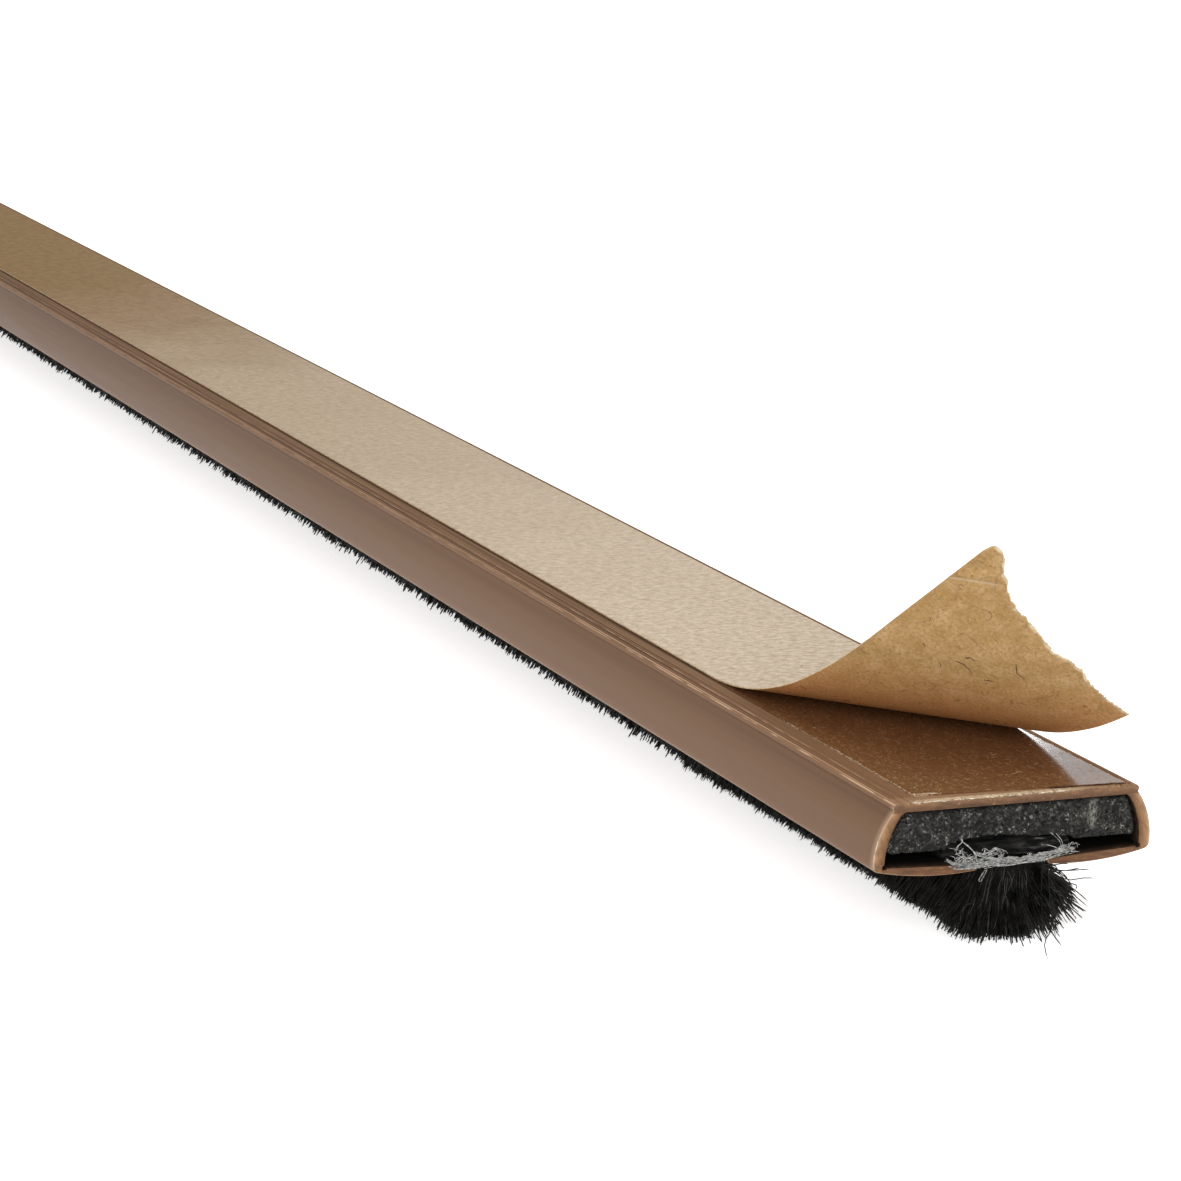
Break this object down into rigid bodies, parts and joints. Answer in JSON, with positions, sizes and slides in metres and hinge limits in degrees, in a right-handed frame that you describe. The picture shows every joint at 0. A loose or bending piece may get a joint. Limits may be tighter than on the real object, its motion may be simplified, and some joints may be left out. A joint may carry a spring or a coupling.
{
  "type": "brush seal strip",
  "caption": "Self-adhesive draught strip: a plastic channel with a filler core and a bristle pile through its slot, its release paper peeled back at one end.",
  "frame": {"origin": "under the middle of the strip's length and width, at the tips of the bristles", "axes": "+Y runs along the strip, away from the peeled end; +X runs across it; +Z points from the bristles to the adhesive face"},
  "size_m": [0.022, 1, 0.0261],
  "materials": {
    "plastic": "satin mid-brown extruded plastic",
    "filler": "matt charcoal, granular, with small bright grains",
    "backing": "grey woven tape with frayed yarns",
    "bristles": "black stiff fibre pile",
    "adhesive": "glossy tacky adhesive that shows the brown beneath",
    "paper": "kraft release paper, satin outside and fibrous inside"
  },
  "bodies": {
    "root": {"profile": "plastic", "core_strip": "filler", "pile_backing": "backing", "pile": "bristles", "adhesive_tape": "adhesive", "release_liner": "paper"}
  },
  "joints": []
}
